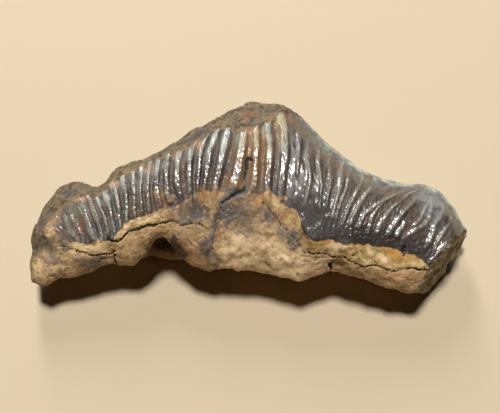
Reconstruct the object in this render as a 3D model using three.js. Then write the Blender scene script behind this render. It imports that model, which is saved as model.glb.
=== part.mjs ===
// Fossil tooth of a hybodont shark: one long, low, ridged crown on a spongy root, grown as a single piece.
// It lies on its back: +Z is up, +Y points to the crest, and X runs along the tooth.
// The origin is on the surface that it lies on, under the middle of the tooth.
import * as THREE from "three";

// Driving dimensions, in millimetres.
const LENGTH = 20; // from end to end along X
const CREST_HEIGHT = 2.9; // of the biting edge above the surface, at the middle of the tooth
const BASE_HEIGHT = 4.25; // of the crown's lower edge
const FOOT_HEIGHT = 2.3; // of the root's lower edge
const CROWN_SWELL = 0.25; // by which the crown's face bulges above its lower edge
const SWELL_LOSS = 0.6; // share of the swell that is gone at the ends
const CREST_DROP = 1.3; // by which the three heights fall off at the ends
const BASE_DROP = 1.7;
const FOOT_DROP = 0.5;
const DROP_BEND = { crest: 2.2, base: 1.5, foot: 2, belly: 2.2 }; // the larger, the nearer to the ends
const ROOT_LIP = { slope: 0.5, bend: 10 }; // half of the root's fall is even, the rest is at its lower lip
const UNDERCUT = 0.7; // by which the root's underside draws back behind its lower lip
const HEEL = { height: 0.35, undercut: 1.2 }; // where the underside meets the hidden side
const BELLY_RISE = 0.65; // of the hidden side at the ends
const FLAT_SPOT_BITE = 0.05; // how deep the surface cuts the hidden side, which makes the flat spot
const RIDGE_RELIEF = 0.15; // from a ridge's top to the valley beside it
const BACK_RIDGE_RELIEF = 0.1;
const LUMP_RELIEF = 0.06; // of the lumps on root, worn crest and left end
const NECK_CRACK_DEPTH = 0.1; // of the crack that runs along the tooth between crown and root
const CROWN_CRACK = { x: -0.02, reach: 0.2, depth: 0.14 }; // the crack that runs up the crown
const ARCH = { x: -3.85, halfWidth: 0.75, height: 1.15, hollow: 1.7, lift: 0.4, ledge: 0.15 };
const BREAK_LEAN = 0.6; // by which the broken right end slopes out towards the surface
const BREAK_FADE = 0.6; // share of lean and undercut that is gone at the crest and at the break
const LEFT_BULGE = 0.3; // of the rounded left end
const BREAK_BULGE = 0.06; // of the broken right end
const SHIFT = new THREE.Vector3(-0.08, -0.47, 0); // puts the origin under the middle of the tooth

// The shape is guided by stations from the left end to the right. A station is the line that a ridge takes
// down the tooth, from the crest over the crown's lower edge (base) to the root's lower edge (foot), each
// an [x, y]. The line bows sideways by bow, and the neck's crack crosses it at that share of the root.
const STATIONS = [
  { crest: [-9.75, -0.65], base: [-9.1, -2.1], foot: [-9.65, -3.45], crack: 0.25, bow: 0 },
  { crest: [-9.35, 0.3], base: [-8.5, -2.1], foot: [-9.2, -3.65], crack: 0.2, bow: 0 },
  { crest: [-8.75, 1.05], base: [-7.6, -2.05], foot: [-8.4, -3.3], crack: 0.25, bow: 0 },
  { crest: [-7.85, 1.3], base: [-6.75, -2.05], foot: [-7.25, -3.05], crack: 0.42, bow: 0 },
  { crest: [-6.95, 0.95], base: [-6, -1.85], foot: [-6.15, -2.75], crack: 0.4, bow: 0 },
  { crest: [-5.85, 1.9], base: [-5.35, -1.2], foot: [-5.3, -2.8], crack: 0.28, bow: 0 },
  { crest: [-4.45, 2.35], base: [-4.35, -0.9], foot: [-4.35, -2.6], crack: 0.27, bow: -0.1 },
  { crest: [-3.15, 3.1], base: [-3, -0.4], foot: [-3.05, -2.7], crack: 0.38, bow: -0.15 },
  { crest: [-1.7, 4], base: [-2, -0.15], foot: [-1.8, -3], crack: 0.46, bow: -0.1 },
  { crest: [-0.25, 4.8], base: [-0.8, -0.2], foot: [-0.45, -3], crack: 0.3, bow: 0 },
  { crest: [0.65, 4.9], base: [0.7, -0.35], foot: [0.8, -3.15], crack: 0.3, bow: 0.05 },
  { crest: [1.95, 4.6], base: [1.85, -0.65], foot: [2.1, -3.5], crack: 0.5, bow: 0.15 },
  { crest: [3.2, 3.3], base: [2.65, -2.1], foot: [3.1, -3.25], crack: 0.48, bow: 0.25 },
  { crest: [4.45, 2.15], base: [3.5, -2.15], foot: [3.85, -3.05], crack: 0.52, bow: 0.2 },
  { crest: [5.7, 1.35], base: [4.2, -2.15], foot: [4.85, -3.35], crack: 0.55, bow: 0 },
  { crest: [7, 1.1], base: [5, -2.2], foot: [5.8, -3.7], crack: 0.54, bow: -0.3 },
  { crest: [8.15, 1.05], base: [6.1, -2.3], foot: [6.6, -3.95], crack: 0.54, bow: -0.3 },
  { crest: [9, 0.55], base: [7.7, -2.75], foot: [7.1, -4], crack: 0.4, bow: 0.2 },
  { crest: [10, -0.9], base: [8.05, -3.05], foot: [7.5, -3.95], crack: 0.26, bow: 0 },
];
const LAST = STATIONS.length - 1;
const CRACK_GAP = { from: 8.2, to: 10.9 }; // the stations between which the neck's crack is closed

// Where each ridge crosses the middle of the crown's face.
const RIDGES = [
  -8.2, -7.8, -7.3, -6.85, -6.5, -6.2, -5.9, -5.55, -5.15, -4.75, -4.4, -3.95, -3.65, -3.35, -2.9, -2.4, -1.9,
  -1.55, -1.15, -0.75, -0.35, 0.3, 0.8, 1.45, 2.15, 2.65, 3.15, 3.65, 4.15, 4.5, 4.9, 5.3, 5.8, 6.25, 6.8,
  7.45, 8.1, 8.65,
];
const END_GAP = 0.35; // from the outermost ridges to the plain ends
const RIDGE_TOP_SHARE = 0.22; // half the width of a ridge's rounded top, as a share of its whole width

// Places on a section, counted round it from the crest, down the face, under the root and up the hidden side.
const FACE_MIDDLE = 3, LOWER_FACE = 4, CROWN_BASE = 5, NECK = 6, ROOT_LOWER = 8;
const BACK_NECK = 13, BACK_SHOULDER = 15, ROUND = 16;
const ROWS_PER_SPAN = [2, 3, 3, 4, 3, 2, 3, 2, 2, 1, 1, 2, 2, 2, 3, 2];
const FACE_UPPER = 0.33; // shares of the way from crest to base: the upper face,
const FACE_PEAK = 0.55; // the place at which the face is highest,
const FACE_LOWER = 0.8; // and the lower face
const FACE_CLIMB_BEND = 2.2; // how soon the face turns level on its way up to its peak
const ROOT_LIP_SHARE = 0.85; // share of the way from base to foot at which the lower lip starts

// The hidden side: shares of the way from foot to crest, each with its height above the belly.
const BACK_POINTS = [{ share: 0.25, lift: 0.06 }, { share: 0.45, lift: 0 }, { share: 0.62, lift: 0.03 }];
const SHOULDER = { share: 0.88, climb: 0.42 }; // climb is its share of the height from belly to crest

const smooth = (from, to, at) => THREE.MathUtils.smoothstep(at, from, to);
const mix = THREE.MathUtils.lerp;

// A smooth curve through one value of every station, which takes a station number, whole or not.
function along(valueOf) {
  const points = STATIONS.map((station) => new THREE.Vector3(...valueOf(station)));
  const curve = new THREE.CatmullRomCurve3(points, false, "catmullrom", 0.5);
  return (station) => curve.getPoint(station / LAST);
}
const crestAt = along(({ crest }) => [...crest, 0]);
const baseAt = along(({ base }) => [...base, 0]);
const footAt = along(({ foot }) => [...foot, 0]);
const crackAndBowAt = along(({ crack, bow }) => [crack, bow, 0]);

// How far out a place is, from 0 at the middle of the tooth to 1 at its ends.
const outness = (x) => Math.min(Math.abs(x) / (LENGTH / 2), 1);

// Share of the crown's face that the worn band along the crest takes: wide on the left, narrow on the right.
const bandShare = (x) => mix(0.22, 0.08, smooth(1.2, 2.4, x));

// The control points of one closed section.
function section(station) {
  const crest = crestAt(station), base = baseAt(station), foot = footAt(station);
  const { x: crack, y: bow } = crackAndBowAt(station);
  crest.z = CREST_HEIGHT - CREST_DROP * outness(crest.x) ** DROP_BEND.crest;
  base.z = BASE_HEIGHT - BASE_DROP * outness(base.x) ** DROP_BEND.base;
  foot.z = FOOT_HEIGHT - FOOT_DROP * outness(foot.x) ** DROP_BEND.foot;
  const top = base.z + CROWN_SWELL * (1 - SWELL_LOSS * outness(base.x) ** 2);
  const belly = BELLY_RISE * outness(foot.x) ** DROP_BEND.belly - FLAT_SPOT_BITE;
  const toBreak = smooth(LAST - 2, LAST, station);
  const lean = BREAK_LEAN * toBreak;
  const undercut = UNDERCUT * (1 - BREAK_FADE * toBreak);
  const arch = Math.exp(-(((foot.x - ARCH.x) / ARCH.halfWidth) ** 2));

  const face = (share) => {
    const point = crest.clone().lerp(base, share);
    const climb = 1 - Math.abs(1 - share / FACE_PEAK) ** FACE_CLIMB_BEND;
    const fall = ((share - FACE_PEAK) / (1 - FACE_PEAK)) ** 2;
    point.z = share < FACE_PEAK ? mix(crest.z, top, climb) : mix(top, base.z, fall);
    point.x += bow * Math.sin(Math.PI * share);
    return point;
  };
  const root = (share, archShare) => {
    const point = base.clone().lerp(foot, share);
    const fall = mix(share ** ROOT_LIP.bend, share, ROOT_LIP.slope);
    point.z = mix(base.z, foot.z, fall) + ARCH.lift * arch * archShare;
    point.y += ARCH.height * arch * archShare;
    return point;
  };
  const back = (share, height) => {
    const point = foot.clone().lerp(crest, share);
    point.x += lean * (1 - share * BREAK_FADE);
    point.z = height;
    return point;
  };
  const under = foot.clone();
  under.x += lean / 2;
  under.y += undercut + ARCH.hollow * arch;
  under.z = foot.z / 2 + ARCH.lift * arch;
  const heel = foot.clone();
  heel.x += lean;
  heel.y += HEEL.undercut * undercut - ARCH.ledge * arch;
  heel.z = belly + HEEL.height;

  return [
    crest, face(bandShare(crest.x)), face(FACE_UPPER), face(FACE_PEAK), face(FACE_LOWER), base,
    root(crack, 0), root((crack + ROOT_LIP_SHARE) / 2, 0.2), root(ROOT_LIP_SHARE, 0.6), root(1, 1),
    under, heel, ...BACK_POINTS.map(({ share, lift }) => back(share, belly + lift)),
    back(SHOULDER.share, mix(belly, crest.z, SHOULDER.climb)),
  ];
}

// The station at which the middle of the face has a given x.
function stationOf(x) {
  let low = 0, high = LAST;
  for (let step = 0; step < 40; step++) {
    const station = (low + high) / 2;
    if ((crestAt(station).x + baseAt(station).x) / 2 < x) low = station;
    else high = station;
  }
  return (low + high) / 2;
}

// The columns of the mesh. Each has a station, the height of the ridge profile there from 0 to 1, and
// whether the crown's crack runs down it.
function ridgeColumns() {
  const columns = [0, 0.4, 0.8, 1.2, 1.6].map((station) => ({ station, profile: 0.5, cracked: false }));
  const add = (x, profile, cracked = false) => columns.push({ station: stationOf(x), profile, cracked });
  RIDGES.forEach((x, k) => {
    const before = RIDGES[k - 1] ?? x - END_GAP;
    const after = RIDGES[k + 1] ?? x + END_GAP;
    const valley = (before + x) / 2;
    add(valley, 0, Math.abs(valley - CROWN_CRACK.x) < CROWN_CRACK.reach);
    add(x - RIDGE_TOP_SHARE * (x - before), 1);
    add(x + RIDGE_TOP_SHARE * (after - x), 1);
  });
  columns.push({ station: LAST - 0.3, profile: 0.2, cracked: false });
  columns.push({ station: LAST, profile: 0.5, cracked: false });
  return columns;
}

// Lumps of the spongy root, the worn crest and the left end, a smooth pattern that never repeats.
const lumps = (p) =>
  Math.sin(2.3 * p.x + 1.7 * p.y) * Math.sin(1.9 * p.y - 2.6 * p.z + 0.8) +
  0.5 * Math.sin(4.7 * p.x - 3.1 * p.z + 2) * Math.sin(3.9 * p.y + 0.5 * p.x);

// How far the surface stands out from its smooth section at a place round it.
function relief(place, column, point) {
  const face = smooth(0.6, 1.3, place) * (1 - smooth(LOWER_FACE + 0.3, CROWN_BASE + 0.1, place));
  const back = smooth(BACK_NECK, BACK_NECK + 0.6, place) * (1 - smooth(BACK_SHOULDER, ROUND, place));
  const root = smooth(CROWN_BASE, ROOT_LOWER - 1, place) * (1 - smooth(BACK_NECK - 1, BACK_NECK, place));
  const crest = 1 - smooth(0.4, 1.2, Math.min(place, ROUND - place));
  const leftEnd = 1 - smooth(0.8, 1.8, column.station);
  const rough = mix(0.2, 1, Math.max(root, crest, leftEnd));
  const gap = smooth(0, 0.3, column.station - CRACK_GAP.from) * smooth(0, 0.3, CRACK_GAP.to - column.station);
  const neckCrack = (1 - gap) * Math.max(0, 1 - 3 * Math.abs(place - NECK));
  const crownCrack = column.cracked ? smooth(FACE_MIDDLE - 0.6, FACE_MIDDLE, place) * face : 0;
  return (column.profile - 0.5) * (RIDGE_RELIEF * face + BACK_RIDGE_RELIEF * back)
    + LUMP_RELIEF * rough * lumps(point)
    - NECK_CRACK_DEPTH * neckCrack - CROWN_CRACK.depth * crownCrack;
}

// Every place round a section that gets a row of vertices.
const PLACES = ROWS_PER_SPAN.flatMap((rows, span) =>
  Array.from({ length: rows }, (unused, row) => span + row / rows));
const COUNT = PLACES.length;

// The smooth surface, one ring of vertices for each column.
function smoothRings(columns) {
  return columns.map(({ station }) => {
    const loop = new THREE.CatmullRomCurve3(section(station), true, "catmullrom", 0.5);
    return PLACES.map((place) => loop.getPoint(place / ROUND));
  });
}

// The same rings with each vertex moved along its normal by the relief, which is half as strong at the ends.
function reliefRings(columns) {
  const rings = smoothRings(columns);
  return rings.map((ring, c) =>
    ring.map((point, r) => {
      const before = rings[Math.max(c - 1, 0)][r];
      const after = rings[Math.min(c + 1, columns.length - 1)][r];
      const alongTooth = after.clone().sub(before);
      const aroundSection = ring[(r + 1) % COUNT].clone().sub(ring[(r + COUNT - 1) % COUNT]);
      const normal = aroundSection.cross(alongTooth).normalize();
      const fromEnd = Math.min(columns[c].station, LAST - columns[c].station);
      const strength = mix(0.5, 1, smooth(0, 0.5, fromEnd));
      return point.clone().addScaledVector(normal, strength * relief(PLACES[r], columns[c], point));
    }),
  );
}

// What closes an end: rings that shrink to a pole at its middle and bulge out by an ellipse.
function cap(ring, outwards, bulge, shares) {
  const pole = ring.reduce((sum, point) => sum.add(point), new THREE.Vector3()).divideScalar(COUNT);
  const rings = shares.map((share) =>
    ring.map((edge) => {
      const point = pole.clone().lerp(edge, Math.cos(share * Math.PI / 2));
      point.x += outwards * bulge * Math.sin(share * Math.PI / 2);
      return point;
    }),
  );
  pole.x += outwards * bulge;
  return { rings, pole };
}

// The closed skin of the tooth. Nothing reaches below the surface that it lies on, so a flat spot forms.
function toothGeometry() {
  const body = reliefRings(ridgeColumns());
  const left = cap(body[0], -1, LEFT_BULGE, [0.6, 0.35]);
  const right = cap(body[body.length - 1], 1, BREAK_BULGE, [0.25, 0.6]);
  const rings = [...left.rings, ...body, ...right.rings];
  const points = [...rings.flat(), left.pole, right.pole];
  const leftPole = points.length - 2, rightPole = points.length - 1;
  const lastRing = (rings.length - 1) * COUNT;
  const triangles = [];
  for (let r = 0; r < COUNT; r++) {
    const next = (r + 1) % COUNT;
    triangles.push(leftPole, next, r, rightPole, lastRing + r, lastRing + next);
    for (let start = 0; start < lastRing; start += COUNT) {
      const a = start + r, b = start + next;
      triangles.push(a, b, a + COUNT, b, b + COUNT, a + COUNT);
    }
  }
  const positions = points.flatMap(({ x, y, z }) => [x, y, Math.max(z, 0)]);
  const geometry = new THREE.BufferGeometry();
  geometry.setAttribute("position", new THREE.Float32BufferAttribute(positions, 3));
  geometry.setIndex(triangles);
  geometry.computeVertexNormals();
  return geometry;
}

const fossil = new THREE.MeshStandardMaterial({ color: 0x7a6150, roughness: 0.5, metalness: 0 });
const tooth = new THREE.Mesh(toothGeometry(), fossil);
tooth.name = "tooth";
tooth.position.copy(SHIFT);

const part = new THREE.Group();
part.add(tooth);

export default part;
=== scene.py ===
# %% [markdown]
# # A fossil shark tooth on its back
# The real thing is 20 mm long: a glossy ridged crown of enamel-like skin on a dull, spongy root, stained by
# the ground it lay in for millions of years. Here each brush stroke is a line of code, which can be
# measured, moved and done again.

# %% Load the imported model, the frame that everything sits in
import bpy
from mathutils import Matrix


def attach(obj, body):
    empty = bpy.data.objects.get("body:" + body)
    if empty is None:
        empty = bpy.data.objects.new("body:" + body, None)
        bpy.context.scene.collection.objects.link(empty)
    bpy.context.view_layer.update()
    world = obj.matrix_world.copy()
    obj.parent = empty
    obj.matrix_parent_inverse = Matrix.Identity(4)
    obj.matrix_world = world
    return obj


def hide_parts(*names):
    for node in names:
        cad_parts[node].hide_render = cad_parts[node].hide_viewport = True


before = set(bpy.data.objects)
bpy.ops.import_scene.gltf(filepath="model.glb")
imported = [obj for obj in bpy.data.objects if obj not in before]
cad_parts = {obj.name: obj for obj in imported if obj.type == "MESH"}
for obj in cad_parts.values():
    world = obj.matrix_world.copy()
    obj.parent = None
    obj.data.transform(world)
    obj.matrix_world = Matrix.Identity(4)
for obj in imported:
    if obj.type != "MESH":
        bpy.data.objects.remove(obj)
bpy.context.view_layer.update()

# %% Tools of the trade
import math

import bmesh
import bpy
import numpy as np
from mathutils import Vector, noise

MM = 0.001  # one millimetre in metres


def set_inputs(node, values):
    """Sets inputs of a shader node by their names."""
    for name, value in values.items():
        node.inputs[name].default_value = value


def link_all(tree, rows):
    """Links shader nodes: from a node's output to another node's input."""
    for source, output, target, socket in rows:
        tree.links.new(source.outputs[output], target.inputs[socket])


print("Blender", bpy.app.version_string)

# %% [markdown]
# ## Camera, floor and light
# The photograph looks down on the tooth at 70 degrees from close by, so the camera needs its distance as
# well as its angle: the near root looks larger than the far crest. A lens of 90 mm at 57 mm gives both.

# %% Camera
CAMERA_TILT = math.radians(20)  # away from straight down
CAMERA_DISTANCE = 57.2 * MM
CAMERA_TARGET = Vector((-0.011, -0.47, 2.3)) * MM
camera_data = bpy.data.cameras.new("camera")
camera_data.lens = 90
camera_data.sensor_width = 36
camera_data.clip_start = 1 * MM
camera_data.clip_end = 10
camera = bpy.data.objects.new("camera", camera_data)
away = Vector((0, -math.sin(CAMERA_TILT), math.cos(CAMERA_TILT)))
camera.location = CAMERA_TARGET + away * CAMERA_DISTANCE
camera.rotation_euler = (CAMERA_TILT, 0, 0)
bpy.context.collection.objects.link(camera)
bpy.context.scene.camera = camera
print("camera at, mm:", [round(value * 1000, 1) for value in camera.location])


# %% [markdown]
# The shadow is short and dark, so the main light is small, high up and behind the crest. A sun lamp does
# that: it is as bright far off on the floor as it is here, and its angle sets how soft the shadow's edge is.
# A strip lamp lower down draws highlights out along the ridges, and a pale card puts a grey sheen on the
# upper face. The world fills the shadows a little. It is pale only where the camera sees it directly.

# %% Lamps
def towards(compass, elevation):
    """The direction to a lamp. Compass 0 is behind the crest and goes on clockwise."""
    turn, rise = math.radians(compass), math.radians(elevation)
    return Vector((math.sin(turn) * math.cos(rise), math.cos(turn) * math.cos(rise), math.sin(rise)))


def add_lamp(name, kind, direction, distance, power, colour):
    """A lamp that looks at the tooth, and its settings."""
    settings = bpy.data.lights.new(name, kind)
    settings.energy = power
    settings.color = colour
    lamp = bpy.data.objects.new(name, settings)
    lamp.location = CAMERA_TARGET + direction * distance
    lamp.rotation_mode = "QUATERNION"
    lamp.rotation_quaternion = direction.to_track_quat("Z", "Y")
    bpy.context.collection.objects.link(lamp)
    return settings


def add_panel(name, direction, distance, width, height, power, colour):
    """A flat lamp, which shows in gloss as a bright shape of its size."""
    settings = add_lamp(name, "AREA", direction, distance, power, colour)
    settings.shape = "RECTANGLE"
    settings.size = width
    settings.size_y = height


SUN_SPREAD = math.radians(9.4)
SUN_POWER, STRIP_POWER, CARD_POWER = 3.2, 0.068, 0.012
LAMP_DISTANCE, CARD_DISTANCE = 110 * MM, 150 * MM
sun = add_lamp("main light", "SUN", towards(-12, 75), LAMP_DISTANCE, SUN_POWER, (1, 0.98, 0.95))
sun.angle = SUN_SPREAD
add_panel("strip lamp", towards(-12, 34), LAMP_DISTANCE, 16 * MM, 58 * MM, STRIP_POWER, (0.97, 0.98, 1))
add_panel("pale card", towards(10, 22), CARD_DISTANCE, 110 * MM, 50 * MM, CARD_POWER, (0.9, 0.95, 1))

# %% The room: a weak warm fill, and a pale wall for the camera alone
ROOM_FILL = (0.008, 0.0077, 0.007, 1)
ROOM_WALL = (0.8, 0.68, 0.47, 1)
world = bpy.data.worlds.new("room")
world.use_nodes = True
room_tree = world.node_tree
seen = room_tree.nodes.new("ShaderNodeLightPath")
room_colour = room_tree.nodes.new("ShaderNodeMix")
room_colour.data_type = "RGBA"
set_inputs(room_colour, {"A": ROOM_FILL, "B": ROOM_WALL})
link_all(room_tree, [
    (seen, "Is Camera Ray", room_colour, "Factor"),
    (room_colour, "Result", room_tree.nodes["Background"], "Color"),
])
bpy.context.scene.world = world
bpy.context.scene.view_settings.view_transform = "Standard"
print("room fill:", ROOM_FILL[:3])


# %% Floor
def linear(red, green, blue):
    """A colour as a screen shows it, from 0 to 255, turned into the light that a shader counts in."""
    parts = [value / 255 for value in (red, green, blue)]
    return tuple(((p + 0.055) / 1.055) ** 2.4 if p > 0.04045 else p / 12.92 for p in parts) + (1,)


def new_material(name):
    """A material with only its shader, and the shader."""
    material = bpy.data.materials.new(name)
    material.use_nodes = True
    return material, material.node_tree.nodes["Principled BSDF"]


def link_mesh(name, bm):
    """Turns a finished bmesh into an object at the origin."""
    mesh = bpy.data.meshes.new(name)
    bm.to_mesh(mesh)
    bm.free()
    thing = bpy.data.objects.new(name, mesh)
    bpy.context.collection.objects.link(thing)
    return thing


FLOOR_RADIUS = 0.5
floor_bmesh = bmesh.new()
bmesh.ops.create_circle(floor_bmesh, cap_ends=True, segments=96, radius=FLOOR_RADIUS)
floor = link_mesh("floor", floor_bmesh)
floor_material, floor_shader = new_material("pale floor")
set_inputs(floor_shader, {"Base Color": linear(204, 187, 158), "Roughness": 0.95})
floor.data.materials.append(floor_material)
print("floor width, mm:", round(floor.dimensions.x * 1000))


# %% [markdown]
# ## The tooth's shape
# The CAD source guides the tooth by stations, lines that run down it from the crest over the crown's lower
# edge to the root's lower edge. The same guides are repeated here, because this mesh has to lie in the same
# place. It is far finer, so the ridges, cracks and pits can be real shape.

# %% Driving dimensions, in millimetres, as in the CAD source
LENGTH = 20.0
CREST_HEIGHT, CREST_DROP, CREST_BEND = 2.9, 1.3, 2.2
BASE_HEIGHT, BASE_DROP, BASE_BEND = 4.25, 1.7, 1.5
FOOT_HEIGHT, FOOT_DROP, FOOT_BEND = 2.3, 0.5, 2
CROWN_SWELL = 0.25
FACE_PEAK = 0.55
LIP_SLOPE, LIP_BEND = 0.5, 10
UNDERCUT = 0.7
BELLY_RISE = 0.65
FLAT_SPOT_BITE = 0.05
ARCH_X, ARCH_HALF_WIDTH, ARCH_HEIGHT = -3.85, 0.75, 1.15
ARCH_HOLLOW, ARCH_LIFT, ARCH_LEDGE = 1.7, 0.4, 0.15
BREAK_LEAN = 0.6
LEFT_BULGE, BREAK_BULGE = 0.3, 0.06
SHIFT = np.array([-0.08, -0.47, 0])
print("tooth length, mm:", LENGTH)

# %% Stations from left to right: crest x y, base x y, foot x y, share of the root at the crack, bow
STATIONS = np.array([
    (-9.75, -0.65, -9.1, -2.1, -9.65, -3.45, 0.25, 0),
    (-9.35, 0.3, -8.5, -2.1, -9.2, -3.65, 0.2, 0),
    (-8.75, 1.05, -7.6, -2.05, -8.4, -3.3, 0.25, 0),
    (-7.85, 1.3, -6.75, -2.05, -7.25, -3.05, 0.42, 0),
    (-6.95, 0.95, -6, -1.85, -6.15, -2.75, 0.4, 0),
    (-5.85, 1.9, -5.35, -1.2, -5.3, -2.8, 0.28, 0),
    (-4.45, 2.35, -4.35, -0.9, -4.35, -2.6, 0.27, -0.1),
    (-3.15, 3.1, -3, -0.4, -3.05, -2.7, 0.38, -0.15),
    (-1.7, 4, -2, -0.15, -1.8, -3, 0.46, -0.1),
    (-0.25, 4.8, -0.8, -0.2, -0.45, -3, 0.3, 0),
    (0.65, 4.9, 0.7, -0.35, 0.8, -3.15, 0.3, 0.05),
    (1.95, 4.6, 1.85, -0.65, 2.1, -3.5, 0.5, 0.15),
    (3.2, 3.3, 2.65, -2.1, 3.1, -3.25, 0.48, 0.25),
    (4.45, 2.15, 3.5, -2.15, 3.85, -3.05, 0.52, 0.2),
    (5.7, 1.35, 4.2, -2.15, 4.85, -3.35, 0.55, 0),
    (7, 1.1, 5, -2.2, 5.8, -3.7, 0.54, -0.3),
    (8.15, 1.05, 6.1, -2.3, 6.6, -3.95, 0.54, -0.3),
    (9, 0.55, 7.7, -2.75, 7.1, -4, 0.4, 0.2),
    (10, -0.9, 8.05, -3.05, 7.5, -3.95, 0.26, 0),
])
LAST = len(STATIONS) - 1
print("stations:", len(STATIONS))


# %% Curves and blends that the shape is drawn with
def smooth(start, end, at):
    """0 before start, 1 after end, and a soft step between them."""
    share = np.clip((at - start) / (end - start), 0, 1)
    return share * share * (3 - 2 * share)


def fade(start, end, at):
    """1 before start, 0 after end, and a soft step between them."""
    return 1 - smooth(start, end, at)


def mix(first, second, share):
    """From first to second, as the share goes from 0 to 1."""
    return first + (second - first) * share


def most(*masks):
    """The strongest of several masks, point by point."""
    return np.maximum.reduce(masks)


def bell(away, reach):
    """1 where away is 0, and next to nothing from twice the reach."""
    return np.exp(-((away / reach) ** 2))


def spline(before, start, end, after, share):
    """The point at a share of the way from start to end, on the smooth curve through all four."""
    out, back = (end - before) / 2, (after - start) / 2
    square, cube = share ** 2, share ** 3
    bend = (2 * cube - 3 * square + 1) * start + (3 * square - 2 * cube) * end
    return bend + (cube - 2 * square + share) * out + (cube - square) * back


def guide(column, station):
    """One of the stations' values, at any station, whole or not."""
    values = STATIONS[:, column]
    first, last = 2 * values[0] - values[1], 2 * values[-1] - values[-2]
    values = np.concatenate([[first], values, [last]])
    whole = np.clip(np.floor(station).astype(int), 0, LAST - 1)
    return spline(values[whole], values[whole + 1], values[whole + 2], values[whole + 3], station - whole)


def outness(x):
    """0 at the middle of the tooth, 1 at its ends."""
    return np.minimum(np.abs(x) / (LENGTH / 2), 1)


print("crest of the middle station:", guide(0, np.array([9])), guide(1, np.array([9])))


# %% [markdown]
# A section is one closed loop across the tooth. Its 16 control points go from the crest down the crown's
# face, over the root and its lower lip, and back up the hidden side. "Place" counts along them from 0 to
# 16, and later every colour and every dent is told by its place, so it follows the tooth.

# %% Places round a section
FACE_MIDDLE, CROWN_BASE = 3, 5
BACK_NECK, BACK_SHOULDER, ROUND = 13, 15, 16
print("places round a section:", ROUND)


# %% Control points of the sections
def at_height(line, height):
    """Points with the x and y of line, at a height."""
    return np.stack([line[:, 0], line[:, 1], height], axis=1)


def section(station):
    """The 16 control points at each station."""
    crest = np.stack([guide(0, station), guide(1, station)], axis=1)
    base = np.stack([guide(2, station), guide(3, station)], axis=1)
    foot = np.stack([guide(4, station), guide(5, station)], axis=1)
    crack, bow = guide(6, station), guide(7, station)
    crest_z = CREST_HEIGHT - CREST_DROP * outness(crest[:, 0]) ** CREST_BEND
    base_z = BASE_HEIGHT - BASE_DROP * outness(base[:, 0]) ** BASE_BEND
    foot_z = FOOT_HEIGHT - FOOT_DROP * outness(foot[:, 0]) ** FOOT_BEND
    top = base_z + CROWN_SWELL * (1 - 0.6 * outness(base[:, 0]) ** 2)
    belly = BELLY_RISE * outness(foot[:, 0]) ** 2.2 - FLAT_SPOT_BITE
    to_break = smooth(LAST - 2, LAST, station)
    lean = BREAK_LEAN * to_break
    undercut = UNDERCUT * (1 - 0.6 * to_break)
    arch = bell(foot[:, 0] - ARCH_X, ARCH_HALF_WIDTH)

    def face(share):
        climb = 1 - np.abs(1 - share / FACE_PEAK) ** 2.2
        fall = ((share - FACE_PEAK) / (1 - FACE_PEAK)) ** 2
        height = np.where(share < FACE_PEAK, mix(crest_z, top, climb), mix(top, base_z, fall))
        point = at_height(crest + (base - crest) * np.reshape(share, (-1, 1)), height)
        point[:, 0] += bow * np.sin(math.pi * share)
        return point

    def root(share, arch_share):
        fall = mix(share ** LIP_BEND, share, LIP_SLOPE)
        height = mix(base_z, foot_z, fall) + ARCH_LIFT * arch * arch_share
        point = at_height(base + (foot - base) * np.reshape(share, (-1, 1)), height)
        point[:, 1] += ARCH_HEIGHT * arch * arch_share
        return point

    def back(share, height):
        point = at_height(foot + (crest - foot) * share, height)
        point[:, 0] += lean * (1 - share * 0.6)
        return point

    under = at_height(foot, 0.5 * foot_z + ARCH_LIFT * arch)
    under[:, 0] += lean * 0.5
    under[:, 1] += undercut + ARCH_HOLLOW * arch
    heel = at_height(foot, belly + 0.35)
    heel[:, 0] += lean
    heel[:, 1] += 1.2 * undercut - ARCH_LEDGE * arch
    band = mix(0.22, 0.08, smooth(1.2, 2.4, crest[:, 0]))
    full = np.ones_like(station)
    return np.stack([
        at_height(crest, crest_z), face(band), face(0.33 * full), face(FACE_PEAK * full), face(0.8 * full),
        face(full), root(crack, 0), root(mix(crack, 0.85, 0.5), 0.2), root(0.85 * full, 0.6),
        root(full, 1), under, heel, back(0.25, belly + 0.06), back(0.45, belly), back(0.62, belly + 0.03),
        back(0.88, mix(belly, crest_z, 0.42)),
    ], axis=1)


print("control points of one section:", section(np.array([9])).shape[1])

# %% [markdown]
# Now a flat grid is rolled up into the tooth, as a sheet of clay would be. Its columns stand at stations
# and its rows at places. Past both end stations the columns shrink to a point, which closes the ends.

# %% How fine the sheet is
BODY_COLUMNS = 482
LEFT_COLUMNS, BREAK_COLUMNS = 14, 34
ROWS_PER_SPAN = [12, 10, 16, 18, 15, 14, 13, 12, 10, 9, 8, 6, 8, 9, 9, 10]
dense = np.linspace(0, LAST, 4000)
middle_x = (guide(0, dense) + guide(2, dense)) / 2
body = np.interp(np.linspace(middle_x[0], middle_x[-1], BODY_COLUMNS), middle_x, dense)
station = np.concatenate([np.zeros(LEFT_COLUMNS), body, np.full(BREAK_COLUMNS, float(LAST))])
closing = np.zeros(len(station))
closing[:LEFT_COLUMNS] = np.linspace(1, 0, LEFT_COLUMNS, endpoint=False)
closing[-BREAK_COLUMNS:] = np.linspace(0, 1, BREAK_COLUMNS + 1)[1:]
side = np.where(station > LAST / 2, 1, -1)
spans = [span + np.arange(rows) / rows for span, rows in enumerate(ROWS_PER_SPAN)]
place = np.concatenate(spans + [[float(ROUND)]])
STATION, PLACE = np.meshgrid(station, place, indexing="ij")
CLOSING = np.broadcast_to(closing[:, None], STATION.shape)
print("columns and rows:", STATION.shape, "triangles:", 2 * STATION.size)


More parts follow.
